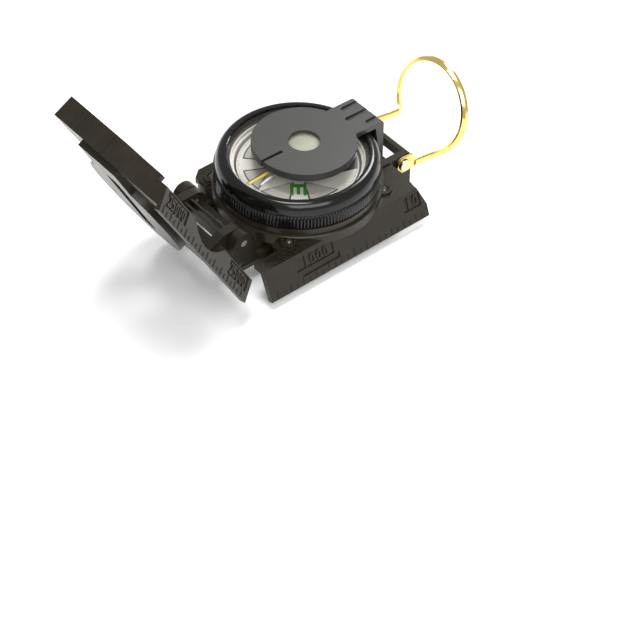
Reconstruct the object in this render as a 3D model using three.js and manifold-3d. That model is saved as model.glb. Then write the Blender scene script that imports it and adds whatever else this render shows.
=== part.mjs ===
// Folding sighting compass: die-cast base with a rotating bezel, hinged lid,
// swing-up magnifier bracket and brass thumb loop. Millimetres, +Z up.
// X runs from the lid hinge (-X) to the thumb loop (+X); Z = 0 is the underside
// of the round bottom cover; the origin lies on the axis of the compass capsule.
import * as THREE from 'three';
import { mergeVertices } from 'three/addons/utils/BufferGeometryUtils.js';
import Module from 'manifold-3d';

const wasm = await Module();
wasm.setup();

// ---- driving dimensions -------------------------------------------------
const GAP = 0.3;                 // working clearance between neighbouring pieces
const RUN = 0.08;                // running clearance of a hole on its pin

// base casting
const HINGE_END_X = -32.7;       // ends of the ruler flange
const LOOP_END_X = 30.0;
const FLAT_Z = 12.9;             // top of the flat flange
const PLATE_T = 2.0;             // casting wall
const FLAT_Y = -24.5;            // edge between flat and sloping ruler
const RULER_Y = -28.2;           // outer lower edge of the sloping ruler
const RULER_Z = 2.9;
const BACK_Y = 24.6;             // far edge of the short flange behind
const DRUM_R = 24.2;             // round drum under the capsule
const RIM_R = 26.6;              // rim that the bezel turns on
const RIM_Z0 = 10.9;
const RIM_Z1 = 14.9;
const RIM_TOP_Z = 17.2;
const NECK_R = 23.7;             // neck inside the bezel
const NECK_TOP_Z = 24.2;
const BORE_R = 21.9;             // bore for the capsule
const LIP_R = 20.9;              // lip that keeps the capsule from rising
const SCREW_XY = 18.9;           // the four cover screws
const BOSS_R = 4.4;

// bottom cover
const COVER_R = 22.1;
const COVER_T = 2.2;
const EAR_R = 4.4;
const TAB_HALF = 1.9;            // key tab that sits in the loop block
const TAB_END_X = 28.6;

// block at the loop end
const BLOCK_END_X = 37.2;
const BLOCK_HALF = 10.75;
const BLOCK_WALL = 2.3;
const BLOCK_TOP_Z = 13.6;
const BLOCK_START_X = 18.0;

// lid hinge
const HINGE_X = -31.4;
const HINGE_Z = 15.5;
const LUG_R = 3.8;
const NEAR_LUG = [-13.2, -9.9];  // faces of the two lugs of the body
const FAR_LUG = [14.0, 17.3];
const NEAR_CHEEK = [-9.6, -6.4]; // faces of the two cheeks of the lid
const FAR_CHEEK = [10.5, 13.7];
const ARM_Z = 6.5;               // round bars that carry the lugs
const PIN_R = 1.2;
const OPEN_DEG = 118.9;          // lid angle from shut in the stored pose

// rotating bezel and crystal
const BEZEL_Z0 = 17.6;
const KNURL_R = 26.0;
const KNURL_ROOT_R = 25.45;
const KNURL_TOP_Z = 22.7;
const TEETH = 60;
const CRYSTAL_R = 22.5;
const CRYSTAL_Z0 = 24.6;
const CRYSTAL_Z1 = 25.7;
// sighting lines let into the crystal: inner end, outer end, half width, angle in degrees
const BEZEL_LINE = [7.3, 20.0, 0.45, 183];
const INDEX_LINE = [12.6, 17.8, 0.35, 192];

// capsule
const CUP_R = 21.55;
const CARD_R = 18.9;
const CARD_Z = 20.8;
const CARD_T = 0.5;
const NORTH_DEG = -38.4;         // where the card points when it is stored

// magnifier bracket
const PIVOT_X = 27.85;
const PIVOT_Z = 9.6;
const FOOT_R = 1.25;
const BRACKET_HALF = 7.0;
const LEG_T = 1.9;
const ARM_X = 28.6;              // outer face of the leg
const ARM_T = 2.0;
const CORNER_Z = 28.4;           // top of the bracket at its corner
const DISC_X = 2.4;              // centre of the magnifier disc
const DISC_R = 16.3;
const DISC_T = 2.5;
const DISC_TILT = 2.0;           // the disc rises a little towards its free end
const LENS_HOLE_R = 5.0;

// thumb loop
const RIVET_X = 33.3;
const RIVET_Z = 10.8;
const LOOP_HALF = 11.9;          // centre of each leg strip
const RING_X = 54.9;             // centre and lean of the ring
const RING_Z = 16.3;
const RING_R = 14.9;
const RING_LEAN = 15.3;
const STRIP_T = 1.5;

// lid, given in its shut position
const LID_FLAT_Z = 22.2;
const LID_RULER_Z = 28.7;
const LID_RIM_Z = 20.6;          // open rim of the tray
const LID_TOP_Z = 27.8;
const LID_PLATE_T = 1.0;
const LID_X0 = -31.1;            // ends of the lid ruler
const LID_X1 = 29.9;
const LID_END_X = 33.1;
const LID_BACK_Y = 21.6;
const LID_TRAY_X = -27.6;
const DOME_X = 2.7;              // raised part that clears the magnifier
const DOME_R = 18.2;
const DOME_CLEAR = 0.4;
const BEZEL_CLEAR_R = 26.6;
const DOT_X = [-12.8, 23.2];     // luminous dots beyond the ends of the slot

const DEG = Math.PI / 180;
const ROUND = 48;                // facets of the large round pieces
const INNER_ROUND = 36;          // facets of the pieces inside the capsule

// ---- helpers --------------------------------------------------------------
function solid(geometry) {
  const g = geometry.clone();
  g.deleteAttribute('normal');
  g.deleteAttribute('uv');
  const m = mergeVertices(g, 1e-5);
  return new wasm.Manifold(new wasm.Mesh({
    numProp: 3,
    vertProperties: new Float32Array(m.attributes.position.array),
    triVerts: new Uint32Array(m.index.array),
  }));
}

function geometryOf(manifold) {
  const mesh = manifold.getMesh();
  const g = new THREE.BufferGeometry();
  g.setAttribute('position', new THREE.BufferAttribute(new Float32Array(mesh.vertProperties), 3));
  g.setIndex(new THREE.BufferAttribute(new Uint32Array(mesh.triVerts), 1));
  g.computeVertexNormals();
  return g;
}

function box(x0, x1, y0, y1, z0, z1) {
  const g = new THREE.BoxGeometry(x1 - x0, y1 - y0, z1 - z0);
  g.translate((x0 + x1) / 2, (y0 + y1) / 2, (z0 + z1) / 2);
  return solid(g);
}

// Upright cylinder.
function rod(x, y, z0, z1, r, segments = 20) {
  const g = new THREE.CylinderGeometry(r, r, z1 - z0, segments);
  g.rotateX(Math.PI / 2);
  g.translate(x, y, (z0 + z1) / 2);
  return solid(g);
}

// Cylinder along Y.
function crossRod(x, z, y0, y1, r, segments = 20) {
  const g = new THREE.CylinderGeometry(r, r, y1 - y0, segments);
  g.translate(x, (y0 + y1) / 2, z);
  return solid(g);
}

// Body turned about the capsule axis from [radius, z] pairs.
function turned(profile, segments = INNER_ROUND) {
  const g = new THREE.LatheGeometry(profile.map(([r, z]) => new THREE.Vector2(r, z)), segments);
  g.rotateX(Math.PI / 2);
  return solid(g);
}

// Closed ring of any section, given counter-clockwise in (radius, z).
function ringOf(points, segments = INNER_ROUND) {
  return turned([...points, points[0]], segments);
}

function ring(r0, r1, z0, z1, segments = INNER_ROUND) {
  return ringOf([[r0, z0], [r1, z0], [r1, z1], [r0, z1]], segments);
}

function outline(points) {
  return new THREE.Shape(points.map(([a, b]) => new THREE.Vector2(a, b)));
}

// Plan outline raised from z0 to z1.
function slab(shape, z0, z1, curveSegments = 5) {
  const g = new THREE.ExtrudeGeometry(shape, { depth: z1 - z0, bevelEnabled: false, curveSegments });
  g.translate(0, 0, z0);
  return solid(g);
}

// Outline in (x, z) carried along Y.
function alongY(shape, y0, y1, curveSegments = 6) {
  const g = new THREE.ExtrudeGeometry(shape, { depth: y1 - y0, bevelEnabled: false, curveSegments });
  g.rotateX(Math.PI / 2);
  g.translate(0, y1, 0);
  return solid(g);
}

// Outline in (y, z) carried along X.
function alongX(shape, x0, x1) {
  const g = new THREE.ExtrudeGeometry(shape, { depth: x1 - x0, bevelEnabled: false });
  g.rotateY(Math.PI / 2);
  g.rotateX(Math.PI / 2);
  g.translate(x0, 0, 0);
  return solid(g);
}

function roundedRect(x0, x1, y0, y1, r) {
  const s = new THREE.Shape();
  s.moveTo(x0 + r, y0);
  s.lineTo(x1 - r, y0);
  s.absarc(x1 - r, y0 + r, r, -Math.PI / 2, 0);
  s.lineTo(x1, y1 - r);
  s.absarc(x1 - r, y1 - r, r, 0, Math.PI / 2);
  s.lineTo(x0 + r, y1);
  s.absarc(x0 + r, y1 - r, r, Math.PI / 2, Math.PI);
  s.lineTo(x0, y0 + r);
  s.absarc(x0 + r, y0 + r, r, Math.PI, 1.5 * Math.PI);
  return s;
}

function union(parts) {
  return parts.reduce((a, b) => a.add(b));
}

function material(color, roughness, metalness) {
  return new THREE.MeshStandardMaterial({ color, roughness, metalness });
}

const paint = () => material(0x3a332c, 0.35, 0.2);
const darkPlastic = () => material(0x4b4b49, 0.65, 0.0);
const blackPlastic = () => material(0x121213, 0.25, 0.0);
const cream = () => material(0xc9c3b2, 0.6, 0.0);
const brass = () => material(0xd9b648, 0.25, 1.0);
const paleBrass = () => material(0xd8cf9c, 0.35, 1.0);
const steel = () => material(0xa9abad, 0.35, 1.0);
const clear = () => material(0xe9eeec, 0.05, 0.0);
const green = () => material(0x2f9a35, 0.5, 0.0);

function mesh(name, manifold, mat) {
  const m = new THREE.Mesh(geometryOf(manifold), mat);
  m.name = name;
  return m;
}

// ---- scale figures ----------------------------------------------------------
// Plain raised numerals, each one or two small outlines in a cell one unit high.
function numeral(digit, h) {
  const w = 0.6 * h;
  const t = 0.15 * h;
  if (digit === '1') {
    return [outline([[0.3 * w, 0], [0.3 * w + t, 0], [0.3 * w + t, h], [0.3 * w, h]])];
  }
  if (digit === '0') {
    const s = new THREE.Shape();
    s.absellipse(w / 2 - t / 4, h / 2, w / 2 - t / 4, h / 2, 0, 2 * Math.PI);
    const hole = new THREE.Path();
    hole.absellipse(w / 2 - t / 4, h / 2, w / 2 - 1.25 * t, h / 2 - t, 0, 2 * Math.PI, true);
    s.holes.push(hole);
    return [s];
  }
  const top = h;
  const mid = h / 2;
  const right = w - t / 2;
  if (digit === '2') {
    return [outline([[0, 0], [right, 0], [right, t], [1.6 * t, t], [right, mid], [right, top],
      [0, top], [0, top - t], [right - t, top - t], [right - t, mid], [0, t]])];
  }
  return [outline([[0, 0], [right, 0], [right, mid + t], [t, mid + t], [t, top - t],
    [right, top - t], [right, top], [0, top], [0, mid], [right - t, mid], [right - t, t], [0, t]])];
}

// Numerals set side by side, raised by depth, centred on the origin in the XY plane.
function figures(text, h, depth) {
  const pitch = 0.68 * h;
  const parts = [];
  [...text].forEach((digit, i) => {
    for (const shape of numeral(digit, h)) {
      const g = new THREE.ExtrudeGeometry(shape, { depth, bevelEnabled: false, curveSegments: 4 });
      g.translate((i - text.length / 2) * pitch, -h / 2, -0.15);
      parts.push(solid(g));
    }
  });
  return union(parts);
}

// ---- base casting -----------------------------------------------------------
const SLOPE_LEN = Math.hypot(RULER_Y - FLAT_Y, FLAT_Z - RULER_Z);
const SLOPE_DEG = Math.atan2(FLAT_Z - RULER_Z, FLAT_Y - RULER_Y) / DEG;

// Lays a piece drawn in XY onto the sloping ruler: +Y up the slope, +Z outwards.
function onRuler(piece, x, upSlope) {
  const along = upSlope / SLOPE_LEN;
  const y = RULER_Y + (FLAT_Y - RULER_Y) * along;
  const z = RULER_Z + (FLAT_Z - RULER_Z) * along;
  return piece.rotate([SLOPE_DEG, 0, 0]).translate([x, y, z]);
}

function rulerSection() {
  const t = PLATE_T;
  return outline([[FLAT_Y, FLAT_Z], [RULER_Y, RULER_Z], [RULER_Y + t * 0.9, RULER_Z - 0.7],
    [FLAT_Y + t, FLAT_Z - t], [FLAT_Y + 3.5, FLAT_Z - t], [FLAT_Y + 3.5, FLAT_Z]]);
}

// Ruler ticks: every 2.5 mm, long ones every 5 mm, standing on the lower edge.
function ticks(x0, x1) {
  const parts = [];
  for (let x = x0; x <= x1; x += 2.5) {
    const long = Math.round((x - x0) / 2.5) % 2 === 0;
    const h = long ? 2.6 : 1.6;
    parts.push(box(x - 0.14, x + 0.14, 0.25, h, -0.2, 0.22));
  }
  return union(parts);
}

function frontFlange() {
  let f = alongX(rulerSection(), HINGE_END_X, LOOP_END_X);
  f = f.subtract(alongY(outline([[LOOP_END_X + 1, 6.8], [LOOP_END_X - 0.01, 6.8],
    [LOOP_END_X - 2.6, FLAT_Z], [LOOP_END_X - 3, FLAT_Z + 1], [LOOP_END_X + 1, FLAT_Z + 1]]), -30, -18));
  const plan = outline([[HINGE_END_X, -19.4], [HINGE_END_X, FLAT_Y + 1], [LOOP_END_X - 2.6, FLAT_Y + 1],
    [LOOP_END_X - 1.4, -16], [LOOP_END_X - 1.4, -9], [14, -9], [-14, -18], [-24, -19.4]]);
  f = f.add(slab(plan, FLAT_Z - PLATE_T, FLAT_Z));
  // recessed panels with raised figures, and the ticks of the ruler
  const plate = (w, h) => box(-w / 2, w / 2, -h / 2, h / 2, -0.45, 1);
  f = f.subtract(onRuler(plate(14.5, 4.2), -14.4, 7.0));
  f = f.subtract(onRuler(plate(14.5, 1.9), -12.6, 3.6));
  f = f.subtract(onRuler(plate(6.8, 4.8), 24.4, 7.2));
  f = f.add(onRuler(figures('1000', 3.8, 0.55).translate([0, 0, -0.4]), -13.6, 7.0));
  f = f.add(onRuler(figures('10', 4.0, 0.55).translate([0, 0, -0.4]), 24.9, 7.2));
  f = f.add(onRuler(ticks(-30, 28), 0, 0));
  const panel = slab(roundedRect(-30.9, -17.4, -24.1, -20.6, 1.7), FLAT_Z - 0.45, FLAT_Z + 1);
  f = f.subtract(panel);
  return f.add(figures('25000', 2.9, 0.5).translate([-23.3, -22.35, FLAT_Z - 0.35]));
}

function backFlange() {
  const plan = outline([[-22.5, 17], [-22.7, 22.2], [-19.8, BACK_Y], [26, BACK_Y], [28.6, 21],
    [28.6, 9], [14, 9], [-14, 17]]);
  return slab(plan, FLAT_Z - PLATE_T, FLAT_Z);
}

function boss(x, y) {
  const z = FLAT_Z;
  const b = ringOf([[0, COVER_T + GAP], [BOSS_R, COVER_T + GAP], [BOSS_R, 7.2], [BOSS_R - 0.6, 7.5],
    [BOSS_R - 0.6, 8.2], [BOSS_R, 8.5], [BOSS_R, z - 0.5], [2.8, z - 0.5], [2.5, z + 0.9], [0, z + 0.9]], 20);
  return b.translate([x, y, 0]);
}

// One of the two round bars that carry the lid, with its hinge lug.
function hingeArm([y0, y1], length) {
  const s = new THREE.Shape();
  s.moveTo(-29.5, ARM_Z - 1.7);
  s.lineTo(-35.2, ARM_Z - 1.7);
  s.quadraticCurveTo(-36.6, ARM_Z - 1.7, -36.6, ARM_Z - 0.3);
  s.lineTo(HINGE_X - LUG_R, HINGE_Z);
  s.absarc(HINGE_X, HINGE_Z, LUG_R, Math.PI, 0, true);
  s.quadraticCurveTo(HINGE_X + LUG_R, ARM_Z + 2.4, -26.2, ARM_Z + 1.7);
  s.lineTo(-26.2, ARM_Z - 1.7);
  s.closePath();
  const bar = new THREE.CylinderGeometry(1.9, 1.9, length, 12);
  bar.rotateZ(Math.PI / 2);
  bar.translate(-35.3 + length / 2, (y0 + y1) / 2, ARM_Z);
  return alongY(s, y0, y1).add(solid(bar));
}

// Space inside the block, from the drum outwards.
function footSpace(x1, z1) {
  const inner = BLOCK_HALF - BLOCK_WALL;
  return box(26.3, x1, -inner, inner, 2.6, z1);
}

// Open-topped block that houses the foot of the magnifier bracket.
function loopBlock() {
  const sideCut = outline([[BLOCK_START_X, 0.2], [BLOCK_END_X, 0.2], [BLOCK_END_X, BLOCK_TOP_Z - 1],
    [BLOCK_END_X - 1, BLOCK_TOP_Z], [BLOCK_START_X, BLOCK_TOP_Z]]);
  let b = alongY(sideCut, -BLOCK_HALF, BLOCK_HALF);
  b = b.subtract(footSpace(BLOCK_END_X - 2.6, BLOCK_TOP_Z + 1));
  return b.subtract(footSpace(BLOCK_END_X + 1, BLOCK_TOP_Z - 3.2));
}

// Thin lips around the round cover, broken at the four ears and at the block.
function coverLips() {
  let lips = ring(COVER_R + GAP, DRUM_R - 0.3, 0.1, 3, ROUND);
  for (const [x, y] of corners()) {
    lips = lips.subtract(rod(x, y, -1, 4, 6.9, 24));
  }
  return lips;
}

function corners() {
  const p = SCREW_XY;
  return [[p, -p], [p, p], [-p, p], [-p, -p]];
}

function bodyCasting() {
  let b = turned([[0, COVER_T + GAP], [DRUM_R - 1.1, COVER_T + GAP], [DRUM_R - 1.1, 5], [DRUM_R, 5.4],
    [DRUM_R, RIM_Z0 - 1.5], [RIM_R - 0.4, RIM_Z0], [RIM_R, RIM_Z0 + 0.4], [RIM_R, RIM_Z1 - 0.3],
    [RIM_R - 0.3, RIM_Z1], [25.8, RIM_Z1], [25.8, RIM_TOP_Z], [NECK_R, RIM_TOP_Z],
    [NECK_R, NECK_TOP_Z], [0, NECK_TOP_Z]], ROUND);
  b = union([b, frontFlange(), backFlange(), loopBlock(), hingeArm(NEAR_LUG, 15.5),
    hingeArm(FAR_LUG, 17.8), coverLips()]);
  for (const [x, y] of corners()) {
    b = b.add(boss(x, y));
  }
  b = b.subtract(rod(0, 0, -1, NECK_TOP_Z - 0.8, BORE_R, INNER_ROUND));
  b = b.subtract(rod(0, 0, 20, NECK_TOP_Z + 1, LIP_R, INNER_ROUND));
  b = b.subtract(ring(NECK_R - 0.9, NECK_R + 1, 19.4, 20.6, ROUND));
  b = b.subtract(coverShape(GAP, -1, COVER_T + GAP));
  for (const [x, y] of corners()) {
    b = b.subtract(rod(x, y, -1, FLAT_Z + 1.6, 1.42, 14));
  }
  b = b.subtract(footSpace(BLOCK_END_X - 2.6, RIM_TOP_Z + 0.1));
  b = b.subtract(crossRod(HINGE_X, HINGE_Z, -20, 20, PIN_R + 0.01));
  b = b.subtract(crossRod(PIVOT_X, PIVOT_Z, -BLOCK_HALF - 1, BLOCK_HALF + 1, 0.76, 16));
  b = b.subtract(crossRod(RIVET_X, RIVET_Z, -BLOCK_HALF - 1, BLOCK_HALF + 1, 1.26, 16));
  return mesh('body_casting', b, paint());
}

// ---- bottom cover and screws --------------------------------------------------
// Round plate with four ears and a key tab, grown by an allowance all round.
function coverShape(grow, z0, z1) {
  let c = rod(0, 0, z0, z1, COVER_R + grow, ROUND);
  for (const [x, y] of corners()) {
    c = c.add(rod(x, y, z0, z1, EAR_R + grow));
    const w = EAR_R + grow;
    const g = new THREE.BoxGeometry(12, 2 * w, z1 - z0);
    g.translate(-6, 0, 0);
    g.rotateZ(Math.atan2(y, x));
    g.translate(x, y, (z0 + z1) / 2);
    c = c.add(solid(g));
  }
  const tab = roundedRect(15, TAB_END_X + grow, -TAB_HALF - grow, TAB_HALF + grow, 1.2);
  return c.add(slab(tab, z0, z1));
}

function coverPlan() {
  return coverShape(0, 0, COVER_T);
}

function bottomCover() {
  let c = coverPlan();
  for (const [x, y] of corners()) {
    c = c.subtract(rod(x, y, 1, COVER_T + 1, 1.75, 16));
    c = c.subtract(rod(x, y, -1, 1.31, 3.35));
  }
  return mesh('bottom_cover', c, paint());
}

// Pan screw with a cross recess, its tip showing at the top of the boss.
function coverScrew(i, x, y) {
  let s = ringOf([[0, 0.15], [2.2, 0.15], [3.0, 0.5], [3.0, 1.25], [1.3, 1.25], [1.3, FLAT_Z + 0.5],
    [0.7, FLAT_Z + 1.25], [0, FLAT_Z + 1.25]], 18).translate([x, y, 0]);
  const g1 = new THREE.BoxGeometry(3.0, 0.62, 1.5);
  const g2 = new THREE.BoxGeometry(0.62, 3.0, 1.5);
  const cross = solid(g1).add(solid(g2)).rotate([0, 0, 17 * i]).translate([x, y, 0.15]);
  s = s.subtract(cross);
  return mesh(`cover_screw_${i}`, s, paint());
}

// ---- bezel, crystal and their marks ---------------------------------------------
function bezelRing() {
  const body = ringOf([[24.05, BEZEL_Z0], [25.2, BEZEL_Z0], [KNURL_ROOT_R, BEZEL_Z0 + 0.25],
    [KNURL_ROOT_R, KNURL_TOP_Z + 0.3], [25.0, KNURL_TOP_Z + 0.5], [25.3, KNURL_TOP_Z + 0.9],
    [25.1, 24.2], [24.4, 25.2], [23.4, 26.0], [22.4, 26.4], [21.9, 26.4], [21.9, 25.9],
    [22.8, 25.9], [22.8, 24.35], [24.05, 24.35]], ROUND);
  const s = new THREE.Shape();
  for (let i = 0; i < TEETH; i += 1) {
    const step = 2 * Math.PI / TEETH;
    const a = i * step;
    const add = (r, t) => {
      const method = i === 0 && t === 0 ? 'moveTo' : 'lineTo';
      s[method](r * Math.cos(a + t * step), r * Math.sin(a + t * step));
    };
    add(KNURL_ROOT_R - 0.05, 0);
    add(KNURL_R, 0.5);
  }
  s.closePath();
  const hole = new THREE.Path();
  hole.absarc(0, 0, 24.8, 0, 2 * Math.PI, true);
  s.holes.push(hole);
  const knurl = slab(s, BEZEL_Z0 + 0.25, KNURL_TOP_Z, 16);
  return mesh('bezel_ring', body.add(knurl), blackPlastic());
}

function crystal() {
  const c = ringOf([[0, CRYSTAL_Z0], [CRYSTAL_R, CRYSTAL_Z0], [CRYSTAL_R, CRYSTAL_Z1 - 0.15],
    [CRYSTAL_R - 0.3, CRYSTAL_Z1], [0, CRYSTAL_Z1]]);
  return mesh('crystal', c.subtract(linePocket(BEZEL_LINE)).subtract(linePocket(INDEX_LINE)), clear());
}

function linePocket([r0, r1, half, angle]) {
  const wide = half + GAP;
  return box(r0 - GAP, r1 + GAP, -wide, wide, 0, CRYSTAL_Z0 + 0.35).rotate([0, 0, angle]);
}

function bezelMark(name, [r0, r1, half, angle], mat) {
  const z0 = CRYSTAL_Z0;
  return mesh(name, box(r0, r1, -half, half, z0, z0 + 0.3).rotate([0, 0, angle]), mat);
}

// Wire ring that rides in the groove of the neck and steadies the bezel.
function bezelSpring() {
  let s = ring(NECK_R - 0.55, NECK_R + 0.1, 19.7, 20.3);
  s = s.subtract(box(20, 26, -1.2, 1.2, 19, 21));
  return mesh('bezel_spring', s, steel());
}

// ---- capsule ------------------------------------------------------------------
function capsuleCup() {
  const c = ringOf([[0, 9.0], [19.9, 9.0], [19.9, COVER_T + GAP], [CUP_R, COVER_T + GAP],
    [CUP_R, 20.2], [CUP_R - 0.8, 20.2], [CUP_R - 0.8, 21.0], [CUP_R, 21.0],
    [CUP_R, 23.1], [20.5, 23.1], [20.5, 22.0], [19.7, 22.0], [19.7, 10.6], [2.2, 10.6],
    [0.75, 12.4], [0.75, 10.2], [0, 10.2]]);
  return mesh('capsule_cup', c, cream());
}

function capsuleWindow() {
  const w = ringOf([[0, 22.05], [20.2, 22.05], [20.2, 23.05], [0, 23.05]]);
  return mesh('capsule_window', w, clear());
}

function capsuleSeal() {
  return mesh('capsule_seal', ring(CUP_R - 0.7, CUP_R + 0.2, 20.3, 20.9), blackPlastic());
}

function pivotNeedle() {
  const n = ringOf([[0, 10.25], [0.7, 10.25], [0.7, 17.2], [0.15, 19.9], [0, 20.0]], 16);
  return mesh('pivot_needle', n, steel());
}

// A line that follows a closed outline, as a raised bead on the card.
function petal(angle, mirror) {
  const build = (inset) => {
    const s = new THREE.Shape();
    const m = mirror;
    s.moveTo((16.9 - inset), m * (2.2 + inset));
    s.quadraticCurveTo(18 - inset, m * 5.5, 15.2 - inset, m * (8.6 - inset));
    s.quadraticCurveTo(9.6, m * (9.3 - inset), 6.6 + inset, m * 4.6);
    s.quadraticCurveTo(9.5, m * (1.4 + inset), 16.9 - inset, m * (2.2 + inset));
    return s;
  };
  const outer = slab(build(0), 0, 0.25, 4);
  const innerCut = slab(build(0.45), -1, 1, 4);
  return outer.subtract(innerCut).rotate([0, 0, angle]).translate([0, 0, CARD_Z + CARD_T - 0.05]);
}

function compassCard() {
  let c = ring(2.6, CARD_R, CARD_Z, CARD_Z + CARD_T);
  for (const a of [0, 90, 180, 270]) {
    const m = (a + NORTH_DEG);
    if (a !== 0) {
      c = c.add(petal(m, 1)).add(petal(m, -1));
    }
  }
  const dir = NORTH_DEG;
  c = c.subtract(box(8.9, 15.4, -2.35, 2.35, CARD_Z + 0.2, CARD_Z + 1).rotate([0, 0, dir]));
  c = c.subtract(box(9.2, 15.2, -2.95, 2.95, CARD_Z + 0.2, CARD_Z + 1).rotate([0, 0, dir - 90]));
  return mesh('compass_card', c, cream());
}

function northArrow() {
  const s = outline([[9.4, -2.0], [9.4, 2.0], [15.0, 0]]);
  const g = slab(s, CARD_Z + 0.25, CARD_Z + CARD_T + 0.15).rotate([0, 0, NORTH_DEG]);
  return mesh('north_arrow', g, green());
}

// Letter for east, upright when north is at the top.
function eastMark() {
  const s = outline([[9.6, -2.5], [14.7, -2.5], [14.7, -1.5], [11.0, -1.5], [11.0, -0.5], [14.2, -0.5],
    [14.2, 0.5], [11.0, 0.5], [11.0, 1.5], [14.7, 1.5], [14.7, 2.5], [9.6, 2.5]]);
  const g = slab(s, CARD_Z + 0.25, CARD_Z + CARD_T + 0.1).rotate([0, 0, NORTH_DEG - 90]);
  return mesh('east_mark', g, green());
}

function cardMagnet() {
  const z0 = CARD_Z - 1.9;
  const s = roundedRect(-13, 13, -3.9, 3.9, 1.5);
  const m = slab(s, z0, z0 + 1.5).subtract(rod(0, 0, z0 - 1, z0 + 3, 2.6 + GAP));
  return mesh('card_magnet', m.rotate([0, 0, NORTH_DEG]), steel());
}

// Brass hub pressed through card and magnet, with a jewel cup under its top.
function cardHub() {
  const h = ringOf([[0, 20.3], [0.9, 20.2], [1.1, 19.4], [1.1, 18.5], [2.3, 18.5], [2.3, 21.4],
    [1.6, 21.8], [0, 21.8]], 20);
  return mesh('card_hub', h, brass());
}

// ---- magnifier bracket -----------------------------------------------------------
function tiltDisc(piece) {
  return piece.translate([-ARM_X, 0, -CORNER_Z]).rotate([0, DISC_TILT, 0]).translate([ARM_X, 0, CORNER_Z]);
}

function lensBracket() {
  const top = CORNER_Z;
  const under = top - ARM_T;
  const discUnder = top - DISC_T;
  let flat = rod(DISC_X, 0, discUnder, top, DISC_R, ROUND);
  flat = flat.add(slab(roundedRect(DISC_X + 10, ARM_X - 1.0, -BRACKET_HALF, BRACKET_HALF, 0.5), under, top));
  flat = flat.subtract(rod(DISC_X, 0, discUnder - 1, top + 1, LENS_HOLE_R, 28));
  flat = flat.subtract(rod(DISC_X, 0, discUnder - 1, top - 0.9, LENS_HOLE_R + 1.3, 28));
  flat = flat.subtract(box(DISC_X - DISC_R - 1, DISC_X - LENS_HOLE_R - 3.6, -0.5, 0.5, under - 1, top + 1));
  flat = tiltDisc(flat);
  const s = new THREE.Shape();
  s.moveTo(ARM_X - LEG_T, PIVOT_Z + 0.8);
  s.lineTo(ARM_X - LEG_T, under);
  s.lineTo(ARM_X - 3.2, under + 0.3);
  s.lineTo(ARM_X - 3.2, top - 0.1);
  s.lineTo(ARM_X - 1.6, top);
  s.absarc(ARM_X - 1.6, top - 1.6, 1.6, Math.PI / 2, 0, true);
  s.lineTo(ARM_X, PIVOT_Z + 0.8);
  s.closePath();
  let b = flat.add(alongY(s, -BRACKET_HALF, BRACKET_HALF));
  b = b.add(crossRod(PIVOT_X, PIVOT_Z, -BRACKET_HALF, BRACKET_HALF, FOOT_R, 16));
  // gussets under the arm
  for (const y of [-BRACKET_HALF, BRACKET_HALF - 1.4]) {
    const web = outline([[ARM_X - LEG_T + 0.1, under + 0.6], [ARM_X - 3.4, under + 0.8],
      [ARM_X - LEG_T + 0.1, 16.5]]);
    b = b.add(alongY(web, y, y + 1.4));
  }
  // grip grooves that run over the corner
  for (const [y, x0] of [[-4.7, -5.4], [0, -9.6], [4.7, -7.4]]) {
    const floor = roundedRect(ARM_X + x0, ARM_X + 3, y - 0.85, y + 0.85, 0.8);
    b = b.subtract(slab(floor, top - 0.6, top + 3));
    b = b.subtract(box(ARM_X - 0.5, ARM_X + 1, y - 0.85, y + 0.85, top - 4.6, top + 1));
  }
  b = b.subtract(crossRod(PIVOT_X, PIVOT_Z, -10, 10, 0.8, 16));
  return mesh('lens_bracket', b, darkPlastic());
}

function magnifierLens() {
  const rim = LENS_HOLE_R + 1.0;
  const lens = ringOf([[0, -1.2], [2.6, -1.05], [4.8, -0.6], [rim, -0.6], [rim, -0.05], [4.8, -0.05],
    [2.6, 0.3], [0, 0.45]], 24);
  const at = lens.translate([DISC_X, 0, CORNER_Z - 1.2]);
  return mesh('magnifier_lens', tiltDisc(at), clear());
}

function lensRetainer() {
  const r = ring(LENS_HOLE_R, LENS_HOLE_R + 1.25, -DISC_T, -1.95, 28);
  return mesh('lens_retainer', tiltDisc(r.translate([DISC_X, 0, CORNER_Z])), blackPlastic());
}

function bracketPin() {
  const p = crossRod(PIVOT_X, PIVOT_Z, -BLOCK_HALF + 0.1, BLOCK_HALF - 0.1, 0.75, 16);
  return mesh('bracket_pin', p, steel());
}

// Leaf spring that holds the bracket down on the bezel or up for reading.
function bracketSpring() {
  const s = outline([[28.1, 2.7], [34.0, 2.7], [34.0, 3.1], [31.1, 3.1], [30.0, 9.4],
    [29.5, 9.4], [30.6, 3.1], [28.1, 3.1]]);
  return mesh('bracket_spring', alongY(s, -4.5, 4.5), steel());
}

// ---- thumb loop --------------------------------------------------------------------
function stripSection() {
  const s = new THREE.Shape();
  s.absellipse(0, 0, STRIP_T / 2, 1.3, 0, 2 * Math.PI);
  return s;
}

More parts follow.
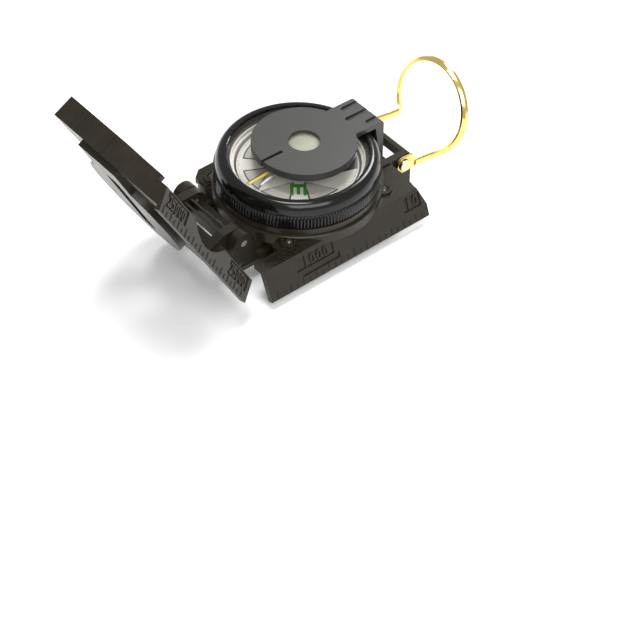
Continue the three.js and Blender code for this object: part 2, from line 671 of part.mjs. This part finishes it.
// Centre line: along one leg, round the leaning ring, and back along the other leg.
function loopPath() {
  const lean = RING_LEAN * DEG;
  const start = -Math.acos(LOOP_HALF / RING_R);
  const sweep = Math.PI - 2 * start;
  const ringPoints = [];
  const n = 26;
  for (let i = 0; i <= n; i += 1) {
    const a = start + sweep * i / n;
    const rise = RING_R * Math.sin(a);
    ringPoints.push(new THREE.Vector3(RING_X + rise * Math.sin(lean), RING_R * Math.cos(a),
      RING_Z + rise * Math.cos(lean)));
  }
  const crimp = ringPoints[0];
  const leg = (side) => [
    new THREE.Vector3(RIVET_X + 4.4, side * LOOP_HALF, RIVET_Z - 1.3),
    new THREE.Vector3(RIVET_X + 10, side * LOOP_HALF, RIVET_Z - 2.2),
    new THREE.Vector3(crimp.x - 2.4, side * LOOP_HALF, crimp.z - 0.2),
  ];
  return new THREE.CatmullRomCurve3([...leg(1), ...ringPoints, ...leg(-1).reverse()], false, 'centripetal');
}

function thumbLoop() {
  const g = new THREE.ExtrudeGeometry(stripSection(), {
    steps: 60, bevelEnabled: false, extrudePath: loopPath(), curveSegments: 4,
  });
  let loop = solid(g);
  for (const side of [1, -1]) {
    const y0 = side > 0 ? BLOCK_HALF + GAP : -BLOCK_HALF - GAP - 1.1;
    const ear = new THREE.Shape();
    ear.moveTo(RIVET_X + 5.6, RIVET_Z - 2.6);
    ear.lineTo(RIVET_X + 5.6, RIVET_Z - 0.2);
    ear.lineTo(RIVET_X + 3.6, RIVET_Z + 2.4);
    ear.lineTo(RIVET_X, RIVET_Z + 2.8);
    ear.absarc(RIVET_X, RIVET_Z, 2.8, Math.PI / 2, 1.5 * Math.PI);
    ear.lineTo(RIVET_X + 3.6, RIVET_Z - 2.8);
    ear.closePath();
    loop = loop.add(alongY(ear, y0, y0 + 1.1));
  }
  loop = loop.subtract(crossRod(RIVET_X, RIVET_Z, -20, 20, 1.2 + RUN, 16));
  return mesh('thumb_loop', loop, brass());
}

function loopRivet(name, side) {
  const profile = [[0, 7.8], [1.2, 7.8], [1.2, BLOCK_HALF + 1.7],
    [2.15, BLOCK_HALF + 1.7], [2.0, BLOCK_HALF + 2.15], [1.0, BLOCK_HALF + 2.45],
    [0, BLOCK_HALF + 2.45]];
  const r = ringOf(profile, 16).rotate([side > 0 ? -90 : 90, 0, 0]);
  return mesh(name, r.translate([RIVET_X, 0, RIVET_Z]), paleBrass());
}

// ---- lid -----------------------------------------------------------------------------
// Everything on the lid is drawn shut, then swung about the hinge line.
function swing(piece) {
  return piece.translate([-HINGE_X, 0, -HINGE_Z]).rotate([0, -OPEN_DEG, 0]).translate([HINGE_X, 0, HINGE_Z]);
}

function lidRulerSection() {
  const t = PLATE_T;
  const z = LID_FLAT_Z;
  return outline([[FLAT_Y, z], [FLAT_Y + 1.7, z], [FLAT_Y + 1.7, LID_TOP_Z], [RULER_Y + t, LID_TOP_Z],
    [RULER_Y + t * 0.9, LID_RULER_Z + 0.5], [RULER_Y, LID_RULER_Z]]);
}

function onLidRuler(piece, x, fromEdge) {
  const len = Math.hypot(RULER_Y - FLAT_Y, LID_RULER_Z - LID_FLAT_Z);
  const y = RULER_Y + (FLAT_Y - RULER_Y) * fromEdge / len;
  const z = LID_RULER_Z + (LID_FLAT_Z - LID_RULER_Z) * fromEdge / len;
  const slope = Math.atan2(LID_RULER_Z - LID_FLAT_Z, FLAT_Y - RULER_Y) / DEG;
  return piece.rotate([180, 0, 180]).rotate([-slope, 0, 0]).translate([x, y, z]);
}

// Plan of the tray: straight behind and at the free end, curving back to the ruler.
function trayPlan(inset) {
  const s = new THREE.Shape();
  const x0 = LID_TRAY_X + inset * 0.5;
  const x1 = LID_END_X - inset;
  const y1 = LID_BACK_Y - inset;
  s.moveTo(x0, y1 - 1.5);
  s.lineTo(x0, -25.2 + inset);
  s.lineTo(LID_X1 - inset, -25.2 + inset);
  s.quadraticCurveTo(LID_X1 - 1.2 - inset, -16, x1, -7);
  s.lineTo(x1, y1 - 1.5);
  s.lineTo(x1 - 1.5, y1);
  s.lineTo(x0 + 1.5, y1);
  s.closePath();
  return s;
}

// Side cheek of the lid's hinge frame, with its barrel round the hinge line.
function hingeCheek([y0, y1]) {
  const x = HINGE_X;
  const z = HINGE_Z;
  const cheek = outline([[x - 3.9, z - 2.4], [x - 1.5, z - 3.6], [x + 3.2, z - 1.8], [x + 5.6, z + 2.6],
    [x + 5.7, LID_TOP_Z - 0.6], [x + 3.9, LID_TOP_Z - 1], [x - 0.6, z + 6.5], [x - 3.9, z + 3.0]]);
  return alongY(cheek, y0, y1).add(crossRod(x, z, y0, y1, 3.7));
}

// Frame between the cheeks: two bars outside, and two thin webs on the side of the drum.
function hingeFrame() {
  const x = HINGE_X;
  const z = HINGE_Z;
  const y0 = NEAR_CHEEK[1] - 0.5;
  const y1 = FAR_CHEEK[0] + 0.5;
  const web = (u) => box(u, u + 0.8, y0, y1, -0.5, 2.9).rotate([0, OPEN_DEG, 0]).translate([x, 0, z]);
  return union([
    hingeCheek(NEAR_CHEEK),
    hingeCheek(FAR_CHEEK),
    box(x - 3.9, x - 2.7, y0, y1, z - 2.2, z - 0.7),
    box(x - 3.9, x - 2.7, y0, y1, z + 1.0, z + 2.4),
    web(-4.8),
    web(-2.4),
  ]);
}

// Raised part of the lid over the magnifier: round, with a leg above the bracket's arm,
// and a top that leans with the magnifier. Shrunk by an inset and cut off at a height.
function dome(inset, z0, height) {
  const round = rod(DOME_X, 0, z0, 40, DOME_R - inset, ROUND);
  const leg = box(DOME_X + 8, 30.3 - inset, -8.6 + inset, 8.6 - inset, z0, 40);
  const above = box(-60, 60, -40, 40, CORNER_Z + height, 60);
  return round.add(leg).subtract(tiltDisc(above));
}

// Room inside the lid for the bracket, the sighting slot and what is let in along it.
function lidCuts() {
  const slot = slab(roundedRect(-9.5, 20, -2.9, 2.9, 2.0), LID_TOP_Z - 2, 40, 4);
  const groove = tiltDisc(box(-11.3, 21.7, -0.2, 0.2, CORNER_Z, CORNER_Z + 1.0));
  const pockets = DOT_X.map((x) => tiltDisc(rod(x, 0, CORNER_Z, CORNER_Z + 0.8, 1.1, 16)));
  return union([slot, groove, ...pockets]);
}

function lid() {
  const z0 = LID_FLAT_Z;
  let l = slab(trayPlan(0), LID_RIM_Z, LID_TOP_Z);
  l = l.add(dome(0, LID_TOP_Z - 0.9, DOME_CLEAR + 0.95));
  l = l.subtract(slab(trayPlan(1.6), LID_RIM_Z - 1, LID_TOP_Z - LID_PLATE_T));
  l = l.subtract(dome(1.0, LID_TOP_Z - 3, DOME_CLEAR));
  // the ruler leaves only its own flat edge below the tray on the near side
  l = l.subtract(box(-40, 40, -30, FLAT_Y, 10, LID_TOP_Z + 1));
  l = l.subtract(box(-40, 40, -30, FLAT_Y + 4, 10, z0));
  l = l.add(alongX(lidRulerSection(), LID_X0, LID_X1));
  l = l.add(hingeFrame());
  // room for the bezel, which stands proud on both long sides
  l = l.subtract(rod(0, 0, 10, LID_TOP_Z - LID_PLATE_T, BEZEL_CLEAR_R, ROUND));
  l = l.subtract(lidCuts());
  // small ribs across the free end
  for (const y of [11.5, -1.2]) {
    l = l.add(box(LID_END_X - 1, LID_END_X + 0.3, y - 0.4, y + 0.4, LID_RIM_Z + 0.2, LID_TOP_Z - 0.2));
  }
  l = l.add(onLidRuler(ticks(-28, 28), 0, 0));
  const plate = box(-6.7, 6.7, -2.2, 2.2, -0.4, 1);
  for (const x of [-22.4, 21.0]) {
    l = l.subtract(onLidRuler(plate, x, 4.9));
    l = l.add(onLidRuler(figures('25000', 3.4, 0.5).translate([0, 0, -0.35]), x, 4.9));
  }
  l = l.subtract(crossRod(HINGE_X, HINGE_Z, -20, 20, PIN_R + RUN));
  return mesh('lid', swing(l), paint());
}

function sightWire() {
  const w = box(-11.2, 21.6, -0.16, 0.16, CORNER_Z + 0.65, CORNER_Z + 0.97);
  return mesh('sight_wire', swing(tiltDisc(w)), steel());
}

function lidDot(name, x) {
  const d = rod(x, 0, CORNER_Z + 0.45, CORNER_Z + 0.78, 1.0, 16);
  return mesh(name, swing(tiltDisc(d)), green());
}

function lidPin(name, y0, y1) {
  return mesh(name, crossRod(HINGE_X, HINGE_Z, y0, y1, PIN_R, 20), steel());
}

// ---- assembly ----------------------------------------------------------------------
const compass = new THREE.Group();
compass.name = 'sighting_compass';
compass.add(bodyCasting(), bottomCover());
corners().forEach(([x, y], i) => compass.add(coverScrew(i + 1, x, y)));
compass.add(bezelRing(), crystal(), bezelSpring());
compass.add(bezelMark('bezel_line', BEZEL_LINE, material(0xd6cf4a, 0.5, 0)));
compass.add(bezelMark('index_line', INDEX_LINE, material(0xf0f0ea, 0.5, 0)));
compass.add(capsuleCup(), capsuleWindow(), capsuleSeal(), pivotNeedle());
compass.add(compassCard(), northArrow(), eastMark(), cardMagnet(), cardHub());
compass.add(lensBracket(), magnifierLens(), lensRetainer(), bracketPin(), bracketSpring());
compass.add(thumbLoop(), loopRivet('loop_rivet_front', -1), loopRivet('loop_rivet_back', 1));
compass.add(lid(), sightWire(), lidDot('lid_dot_inner', DOT_X[0]), lidDot('lid_dot_outer', DOT_X[1]));
compass.add(lidPin('lid_pin_front', NEAR_LUG[0] + 0.2, NEAR_CHEEK[1] - 0.3));
compass.add(lidPin('lid_pin_back', FAR_CHEEK[0] + 0.3, FAR_LUG[1] - 0.2));

export default compass;
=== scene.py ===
import math

import bpy
from mathutils import Matrix, Vector


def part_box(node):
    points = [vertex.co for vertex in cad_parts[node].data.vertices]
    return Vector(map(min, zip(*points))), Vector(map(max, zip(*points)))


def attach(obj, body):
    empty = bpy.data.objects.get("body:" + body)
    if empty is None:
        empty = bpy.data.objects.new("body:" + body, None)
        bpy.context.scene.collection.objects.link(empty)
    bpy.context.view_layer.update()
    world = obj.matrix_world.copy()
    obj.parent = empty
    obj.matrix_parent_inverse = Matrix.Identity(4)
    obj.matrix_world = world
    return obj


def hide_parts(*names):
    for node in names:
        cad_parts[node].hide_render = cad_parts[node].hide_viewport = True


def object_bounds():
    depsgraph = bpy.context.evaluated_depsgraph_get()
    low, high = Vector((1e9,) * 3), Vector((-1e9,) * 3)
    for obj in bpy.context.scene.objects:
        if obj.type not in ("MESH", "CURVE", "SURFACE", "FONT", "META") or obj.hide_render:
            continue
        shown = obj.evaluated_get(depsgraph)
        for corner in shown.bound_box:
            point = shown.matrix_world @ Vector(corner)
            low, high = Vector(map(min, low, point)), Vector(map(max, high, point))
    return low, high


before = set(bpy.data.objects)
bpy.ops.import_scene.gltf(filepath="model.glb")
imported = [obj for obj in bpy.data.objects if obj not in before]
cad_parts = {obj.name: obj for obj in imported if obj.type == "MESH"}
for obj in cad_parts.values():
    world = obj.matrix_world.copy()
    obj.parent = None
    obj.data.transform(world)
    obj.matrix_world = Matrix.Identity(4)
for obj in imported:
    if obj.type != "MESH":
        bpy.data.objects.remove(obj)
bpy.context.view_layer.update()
MM = 0.001


# ---- materials ------------------------------------------------------------
def new_material(name):
    mat = bpy.data.materials.new(name)
    mat.use_nodes = True
    tree = mat.node_tree
    shader = tree.nodes["Principled BSDF"]
    coords = tree.nodes.new("ShaderNodeTexCoord")
    return mat, tree, shader, coords.outputs["Object"]


def noise(tree, coords, scale, detail=4.0, rough=0.55):
    n = tree.nodes.new("ShaderNodeTexNoise")
    n.inputs["Scale"].default_value = scale
    n.inputs["Detail"].default_value = detail
    n.inputs["Roughness"].default_value = rough
    tree.links.new(coords, n.inputs["Vector"])
    return n.outputs["Fac"]


def ramp(tree, fac, stops):
    r = tree.nodes.new("ShaderNodeValToRGB")
    e = r.color_ramp.elements
    while len(e) < len(stops):
        e.new(0.5)
    for el, (pos, color) in zip(e, stops):
        el.position = pos
        el.color = (*color, 1)
    tree.links.new(fac, r.inputs["Fac"])
    return r.outputs["Color"]


def spread(tree, fac, low, high):
    m = tree.nodes.new("ShaderNodeMapRange")
    m.inputs["From Min"].default_value = 0.3
    m.inputs["From Max"].default_value = 0.7
    m.inputs["To Min"].default_value = low
    m.inputs["To Max"].default_value = high
    tree.links.new(fac, m.inputs["Value"])
    return m.outputs["Result"]


def shade(color, k):
    return tuple(min(1.0, c * k) for c in color)


def finish(name, color, rough, metal=0.0, coat=0.0, grain=9000, bump=0.1, height=0.00002,
           vary=0.12, specular=0.5, blotch=260, edge=0.0, gloss=0.14):
    """Painted, moulded or polished surface: mottled colour, uneven gloss and a fine grain."""
    mat, tree, shader, coords = new_material(name)
    large = noise(tree, coords, blotch, 3.0)
    fine = noise(tree, coords, grain, 3.0, 0.6)
    stops = [(0.3, shade(color, 1 - vary)), (0.55, color), (0.75, shade(color, 1 + vary))]
    tree.links.new(ramp(tree, large, stops), shader.inputs["Base Color"])
    uneven = spread(tree, large, rough * (1 - gloss), rough * (1 + gloss))
    tree.links.new(uneven, shader.inputs["Roughness"])
    b = tree.nodes.new("ShaderNodeBump")
    b.inputs["Strength"].default_value = bump
    b.inputs["Distance"].default_value = height
    tree.links.new(fine, b.inputs["Height"])
    if edge:
        rounded = tree.nodes.new("ShaderNodeBevel")
        rounded.samples = 6
        rounded.inputs["Radius"].default_value = edge * MM
        tree.links.new(rounded.outputs["Normal"], b.inputs["Normal"])
    tree.links.new(b.outputs["Normal"], shader.inputs["Normal"])
    shader.inputs["Metallic"].default_value = metal
    shader.inputs["Coat Weight"].default_value = coat
    shader.inputs["Coat Roughness"].default_value = 0.12
    shader.inputs["Specular IOR Level"].default_value = specular
    return mat


def clear_finish(name, alpha, rough=0.03, tint=(1.0, 1.0, 1.0), metal=1.0):
    """Thin clear cover: mostly see-through, with a faint uneven sheen; with a pale tint and metal off it
    becomes a pale pane that carries painted light.
    """
    mat, tree, shader, coords = new_material(name)
    soft = noise(tree, coords, 90, 2.0)
    tree.links.new(ramp(tree, soft, [(0.3, shade(tint, 0.95)), (0.7, tint)]), shader.inputs["Base Color"])
    tree.links.new(spread(tree, soft, alpha * 0.75, alpha * 1.3), shader.inputs["Alpha"])
    tree.links.new(spread(tree, soft, rough, rough * 2.5), shader.inputs["Roughness"])
    shader.inputs["Metallic"].default_value = metal
    return mat


M = {
    "paint": finish("dark_olive_paint", (0.0165, 0.0125, 0.0070), 0.32, coat=0.10, grain=5200, bump=0.30,
                    height=0.00004, vary=0.14, specular=0.22, edge=0.22),
    "cover_paint": finish("cover_paint", (0.018, 0.0138, 0.0080), 0.32, coat=0.08, grain=4200, bump=0.25,
                          height=0.00003, vary=0.10, specular=0.3, edge=0.2),
    "bezel": finish("bezel_black", (0.004, 0.004, 0.0035), 0.15, coat=0.06, grain=6000, bump=0.06, vary=0.2,
                    specular=0.32),
    "bracket": finish("bracket_grey", (0.024, 0.024, 0.022), 0.40, grain=11000, bump=0.30, height=0.00003,
                      vary=0.05, specular=0.6, edge=0.18, gloss=0.03),
    "dial": finish("dial_cream", (0.74, 0.71, 0.64), 0.45, grain=7000, bump=0.10, vary=0.05),
    "card": finish("card_cream", (0.80, 0.77, 0.70), 0.40, grain=7000, bump=0.10, vary=0.04),
    "petal": finish("petal_grey", (0.56, 0.53, 0.47), 0.45, grain=7000, bump=0.10, vary=0.06),
    "ink": finish("outline_grey", (0.060, 0.055, 0.048), 0.45, grain=7000, bump=0.10, vary=0.08),
    "dark": finish("dark_sector", (0.028, 0.028, 0.024), 0.40, grain=7000, bump=0.10, vary=0.12),
    "green": finish("luminous_green", (0.050, 0.27, 0.022), 0.42, grain=5000, bump=0.15, vary=0.12),
    "yellow": finish("luminous_yellow", (0.68, 0.58, 0.07), 0.40, grain=5000, bump=0.15, vary=0.08),
    "white": finish("white_paint", (0.80, 0.79, 0.74), 0.40, grain=5000, bump=0.15, vary=0.04),
    "brass": finish("polished_brass", (0.86, 0.66, 0.22), 0.15, metal=1.0, grain=3000, bump=0.06, vary=0.07,
                    edge=0.15),
    "screw": finish("pale_brass", (0.80, 0.73, 0.45), 0.24, metal=1.0, grain=4200, bump=0.12, vary=0.08),
    "dark_screw": finish("painted_screw", (0.034, 0.029, 0.022), 0.25, coat=0.4, grain=4200, bump=0.2,
                         vary=0.12),
    "steel": finish("spring_steel", (0.58, 0.59, 0.60), 0.26, metal=1.0, grain=4200, bump=0.12, vary=0.08),
    "magnet": finish("sintered_magnet", (0.20, 0.20, 0.21), 0.55, metal=1.0, grain=9000, bump=0.4,
                     vary=0.15),
    "rubber": finish("black_rubber", (0.02, 0.02, 0.02), 0.65, grain=9000, bump=0.3, vary=0.15),
    "crystal": clear_finish("crystal_clear", 0.05),
    "window": clear_finish("capsule_clear", 0.03),
    # lens: pale cream tint, metal off and far more opaque than the other covers; this is painted light
    # standing in for the bright dial seen through the lens, which otherwise lies in the bracket's shade
    "lens": clear_finish("lens_painted_light", 0.24, 0.02, (0.90, 0.90, 0.72), 0.0),
}

NODE_FINISH = {
    "body_casting": "paint", "bottom_cover": "cover_paint", "lid": "paint", "bezel_ring": "bezel",
    "crystal": "crystal", "capsule_window": "window", "magnifier_lens": "lens",
    "bezel_spring": "steel", "pivot_needle": "steel", "bracket_pin": "steel", "bracket_spring": "steel",
    "lid_pin_front": "steel", "lid_pin_back": "steel", "sight_wire": "steel",
    "bezel_line": "yellow", "index_line": "white", "capsule_cup": "dial", "compass_card": "card",
    "capsule_seal": "rubber", "lens_retainer": "rubber", "north_arrow": "green", "east_mark": "green",
    "lid_dot_inner": "green", "lid_dot_outer": "green", "card_magnet": "magnet", "card_hub": "brass",
    "lens_bracket": "bracket", "thumb_loop": "brass",
    "loop_rivet_front": "screw", "loop_rivet_back": "screw",
    "cover_screw_1": "dark_screw", "cover_screw_2": "dark_screw", "cover_screw_3": "dark_screw",
    "cover_screw_4": "dark_screw",
}


def soften(o):
    """Shades the round faces smoothly and keeps the hard edges, as modifiers only."""
    o.data.polygons.foreach_set("use_smooth", [True] * len(o.data.polygons))
    weld = o.modifiers.new("weld", "WELD")
    weld.merge_threshold = 1e-6
    split = o.modifiers.new("split", "EDGE_SPLIT")
    split.split_angle = math.radians(24)
    w = o.modifiers.new("normals", "WEIGHTED_NORMAL")
    w.keep_sharp = True


for node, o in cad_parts.items():
    o.data.materials.clear()
    o.data.materials.append(M[NODE_FINISH[node]])
    if "custom_normal" in o.data.attributes:
        o.data.attributes.remove(o.data.attributes["custom_normal"])
    soften(o)


# ---- mesh helpers ---------------------------------------------------------
def piece(name, verts, faces, mat, body, slot_name, *nodes):
    mesh = bpy.data.meshes.new(name)
    mesh.from_pydata([tuple(v) for v in verts], [], faces)
    mesh.validate()
    mesh.polygons.foreach_set("use_smooth", [True] * len(mesh.polygons))
    mesh.materials.append(M[mat])
    o = bpy.data.objects.new(name, mesh)
    bpy.context.scene.collection.objects.link(o)
    split = o.modifiers.new("split", "EDGE_SPLIT")
    split.split_angle = math.radians(34)
    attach(o, body)
    if nodes:
        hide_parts(*nodes)
    return o


def grid_faces(rows, columns, close_rows):
    """Quads of a grid that closes on itself along the columns, and along the rows if asked."""
    faces = []
    for i in range(rows if close_rows else rows - 1):
        for j in range(columns):
            a, b = i * columns + j, i * columns + (j + 1) % columns
            c, d = ((i + 1) % rows) * columns + (j + 1) % columns, ((i + 1) % rows) * columns + j
            faces.append((a, b, c, d))
    return faces


def turned(profile, n, tooth=None):
    """Ring of a closed (radius, height) profile; tooth(radius, height, share of turn) moves a point."""
    verts = []
    for r, z in profile:
        for j in range(n):
            t = 2 * math.pi * j / n
            rr = tooth(r, z, j / n) if tooth else r
            verts.append((rr * math.cos(t), rr * math.sin(t), z))
    return verts, grid_faces(len(profile), n, True)


def plate(outline, z0, z1):
    n = len(outline)
    verts = [(x, y, z0) for x, y in outline] + [(x, y, z1) for x, y in outline]
    faces = [tuple(range(n - 1, -1, -1)), tuple(range(n, 2 * n))]
    faces += [(i, (i + 1) % n, n + (i + 1) % n, n + i) for i in range(n)]
    return verts, faces


def joined(parts):
    verts, faces = [], []
    for v, f in parts:
        k = len(verts)
        verts += list(v)
        faces += [tuple(i + k for i in face) for face in f]
    return verts, faces


# ---- rotating bezel with a fine knurl -----------------------------------------
low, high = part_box("bezel_ring")
R, Z0, Z1 = high.x, low.z, high.z
TEETH = 156
TOOTH = 0.42 * MM                # depth of the knurl
RIM_WALL = 1.95 * MM             # from the knurl to the bore of the skirt
SEAT_WALL = 3.15 * MM            # from the knurl to the seat of the crystal
KNURL_SHARE = 0.47               # of the bezel's height
root = R - TOOTH
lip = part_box("crystal")[1].x - 0.5 * MM
glass_low, glass_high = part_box("crystal")[0].z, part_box("crystal")[1].z
bore = R - RIM_WALL
seat = R - SEAT_WALL
knurl_top = Z0 + (Z1 - Z0) * KNURL_SHARE


def bezel_profile():
    """Section of the bezel: skirt, knurled band, groove, rounded shoulder and lip over the crystal."""
    pts = [(bore, Z0), (root - 0.3 * MM, Z0), (root, Z0 + 0.25 * MM), (root, Z0 + 0.45 * MM)]
    pts += [(root, knurl_top - 0.25 * MM), (root, knurl_top), (root - 0.35 * MM, knurl_top + 0.25 * MM),
            (root - 0.35 * MM, knurl_top + 0.55 * MM)]
    inner, top = lip + 0.5 * MM, Z1 - 0.05 * MM
    width, rise = root - 0.1 * MM - inner, top - (knurl_top + 0.8 * MM)
    for i in range(13):
        a = 0.5 * math.pi * i / 12
        pts.append((inner + width * math.cos(a) ** 0.85, knurl_top + 0.8 * MM + rise * math.sin(a)))
    pts += [(lip + 0.15 * MM, top), (lip, top - 0.12 * MM), (lip, glass_high + 0.15 * MM),
            (seat, glass_high + 0.15 * MM), (seat, glass_low - 0.2 * MM), (bore, glass_low - 0.2 * MM)]
    return pts


def knurl(r, z, share):
    if abs(r - root) < 1e-6 and Z0 + 0.3 * MM < z < knurl_top - 0.1 * MM:
        wave = 0.5 + 0.5 * math.cos(2 * math.pi * TEETH * share)
        return r + TOOTH * min(1.0, 1.7 * wave)
    return r


verts, faces = turned(bezel_profile(), TEETH * 6, knurl)
piece("bezel_knurled", verts, faces, "bezel", "bezel", "bezel", "bezel_ring")

# ---- finishing of the dial ------------------------------------------------------
card_low, card_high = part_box("compass_card")
card_r, card_z = card_high.x, card_high.z - 0.2 * MM
arrow_low, arrow_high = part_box("north_arrow")
north = math.atan2((arrow_low.y + arrow_high.y) / 2, (arrow_low.x + arrow_high.x) / 2)


def polar(r, a):
    return r * math.cos(a), r * math.sin(a)


MARKS = 120
MARK_HALF = 0.07 * MM


def scale_marks():
    """Fine marks round the rim of the card, every tenth one longer."""
    parts = []
    for i in range(MARKS):
        a = north + 2 * math.pi * i / MARKS
        length = 0.9 * MM if i % 10 == 0 else 0.5 * MM
        r1 = card_r - 0.25 * MM
        dx, dy = -math.sin(a) * MARK_HALF, math.cos(a) * MARK_HALF
        (x0, y0), (x1, y1) = polar(r1 - length, a), polar(r1, a)
        mark = [(x0 - dx, y0 - dy), (x1 - dx, y1 - dy), (x1 + dx, y1 + dy), (x0 + dx, y0 + dy)]
        parts.append(plate(mark, card_z - 0.01 * MM, card_z + 0.03 * MM))
    return joined(parts)


verts, faces = scale_marks()
piece("card_scale_marks", verts, faces, "ink", "card", "green_mark")


# the card itself, plain on top, with its rim a little rounded
hub_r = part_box("card_hub")[1].x + 0.15 * MM
verts, faces = turned([(card_r, card_low.z), (card_r, card_z - 0.08 * MM), (card_r - 0.08 * MM, card_z),
                       (hub_r, card_z), (hub_r, card_low.z)], 128)
piece("card_disc", verts, faces, "card", "card", "dial", "compass_card")


def on_north(points):
    """Points given as shares of the card's radius, along and across the north axis."""
    c, s = math.cos(north) * card_r, math.sin(north) * card_r
    return [(along * c - across * s, along * s + across * c) for along, across in points]


verts, faces = plate(on_north([(0.37, -0.34), (0.97, -0.14), (0.97, 0.14), (0.37, 0.34)]),
                     card_z - 0.02 * MM, card_z + 0.05 * MM)
piece("north_sector", verts, faces, "dark", "card", "green_mark")
barb_outlines = [[(0.44, -0.22), (0.64, -0.27), (0.64, -0.16)], [(0.44, 0.22), (0.64, 0.16), (0.64, 0.27)]]
barbs = [plate(on_north(points), card_z + 0.03 * MM, card_z + 0.09 * MM) for points in barb_outlines]
verts, faces = joined(barbs)
piece("north_barbs", verts, faces, "green", "card", "green_mark")


PETAL_NEAR, PETAL_FAR = 0.20, 0.74      # radians from the quarter mark
PETAL_INNER, PETAL_OUTER = 0.50, 0.88   # shares of the card's radius
PETAL_STEPS = 14


def petal(angle, side, grow, top):
    """Leaf-shaped patch along the rim beside a quarter mark; grow widens it, top is its height."""
    near, far = PETAL_NEAR - 1.4 * grow, PETAL_FAR + 1.4 * grow
    outer, inner = PETAL_OUTER + grow, PETAL_INNER - grow
    angles = [near + (far - near) * i / PETAL_STEPS for i in range(PETAL_STEPS + 1)]
    pts = [polar(outer * card_r, a) for a in angles]
    for i in range(PETAL_STEPS - 1, -1, -1):
        r = inner + (outer - inner) * (i / PETAL_STEPS) ** 2.2
        pts.append(polar(r * card_r, angles[i]))
    c, s = math.cos(angle), math.sin(angle)
    pts = [(x * c - side * y * s, x * s + side * y * c) for x, y in pts]
    return plate(pts if side > 0 else pts[::-1], card_z - 0.02 * MM, card_z + top)


def petals(grow, top):
    """A pair of petals at each quarter mark except north."""
    quarters = [north + k * math.pi / 2 for k in (1, 2, 3)]
    return joined([petal(angle, side, grow, top) for angle in quarters for side in (1, -1)])


verts, faces = petals(0.026, 0.03 * MM)
piece("petal_outlines", verts, faces, "ink", "card", "dial")
verts, faces = petals(0.0, 0.05 * MM)
piece("card_petals", verts, faces, "petal", "card", "dial")

# ---- magnifier lens, set low in its hole --------------------------------------------
lens_low, lens_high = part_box("magnifier_lens")
lens_r = (lens_high.x - lens_low.x) / 2
LENS_EDGE, LENS_RISE = 0.35 * MM, 0.45 * MM


def lens_profile():
    """Section of a low biconvex lens about its own axis, from the rim inwards over the top."""
    top = [(lens_r * (1 - i / 8), LENS_EDGE + LENS_RISE * (1 - (1 - i / 8) ** 2)) for i in range(8)]
    return [(lens_r, 0.0)] + top + [(0.05 * MM, LENS_EDGE + LENS_RISE), (0.05 * MM, -0.1 * MM)]


verts, faces = turned(lens_profile(), 64)
lens_x, lens_y = (lens_low.x + lens_high.x) / 2, (lens_low.y + lens_high.y) / 2
verts = [(x + lens_x, y + lens_y, z + lens_low.z + 0.2 * MM) for x, y, z in verts]
piece("lens_low", verts, faces, "lens", "bracket", "lens", "magnifier_lens")

# ---- stage ----------------------------------------------------------------------
low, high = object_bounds()
centre = (low + high) / 2
floor_mat, tree, shader, coords = new_material("studio_floor")
pale = [(0.3, (0.93, 0.93, 0.93)), (0.7, (0.96, 0.96, 0.96))]
tree.links.new(ramp(tree, noise(tree, coords, 30, 2.0), pale), shader.inputs["Base Color"])
shader.inputs["Roughness"].default_value = 0.75
mesh = bpy.data.meshes.new("floor")
FLOOR_HALF, FLOOR_Z = 2.5, -0.0002
corners = [(x * FLOOR_HALF, y * FLOOR_HALF, FLOOR_Z) for x, y in ((-1, -1), (1, -1), (1, 1), (-1, 1))]
mesh.from_pydata(corners, [], [(0, 1, 2, 3)])
mesh.materials.append(floor_mat)
floor = bpy.data.objects.new("floor", mesh)
bpy.context.scene.collection.objects.link(floor)

world = bpy.data.worlds.new("studio")
bpy.context.scene.world = world
world.use_nodes = True
background = world.node_tree.nodes["Background"]
background.inputs["Color"].default_value = (1, 1, 1, 1)
background.inputs["Strength"].default_value = 0.58


def lamp(name, where, aim, size, power):
    data = bpy.data.lights.new(name, "AREA")
    data.shape = "RECTANGLE"
    data.size, data.size_y = size
    data.energy = power
    o = bpy.data.objects.new(name, data)
    bpy.context.scene.collection.objects.link(o)
    o.location = where
    o.rotation_mode = "QUATERNION"
    o.rotation_quaternion = (Vector(aim) - Vector(where)).to_track_quat("-Z", "Y")


lamp("soft_back", (0.66, 0.31, 0.71), centre, (0.26, 0.26), 4.2)
lamp("soft_front", (-0.30, -0.72, 0.72), centre, (0.85, 0.60), 8.0)
lamp("soft_top", (-0.05, 0.02, 0.95), centre, (0.30, 0.30), 4.0)

# ---- camera -----------------------------------------------------------------------
AZIMUTH, ELEVATION, ROLL = math.radians(-40.37), math.radians(44.62), math.radians(1.04)
camera_data = bpy.data.cameras.new("camera")
camera = bpy.data.objects.new("camera", camera_data)
bpy.context.scene.collection.objects.link(camera)
back = Vector((math.sin(AZIMUTH) * math.cos(ELEVATION), -math.cos(AZIMUTH) * math.cos(ELEVATION),
               math.sin(ELEVATION)))
camera.rotation_mode = "QUATERNION"
turn = Matrix.Rotation(ROLL, 4, back)
camera.rotation_quaternion = turn.to_quaternion() @ (-back).to_track_quat("-Z", "Y")
camera.location = (-0.36223, -0.43792, 0.51490)
camera_data.lens = 137.84
camera_data.sensor_width = 36
camera_data.clip_start, camera_data.clip_end = 0.02, 20
bpy.context.scene.camera = camera
bpy.context.scene.view_settings.view_transform = "Standard"
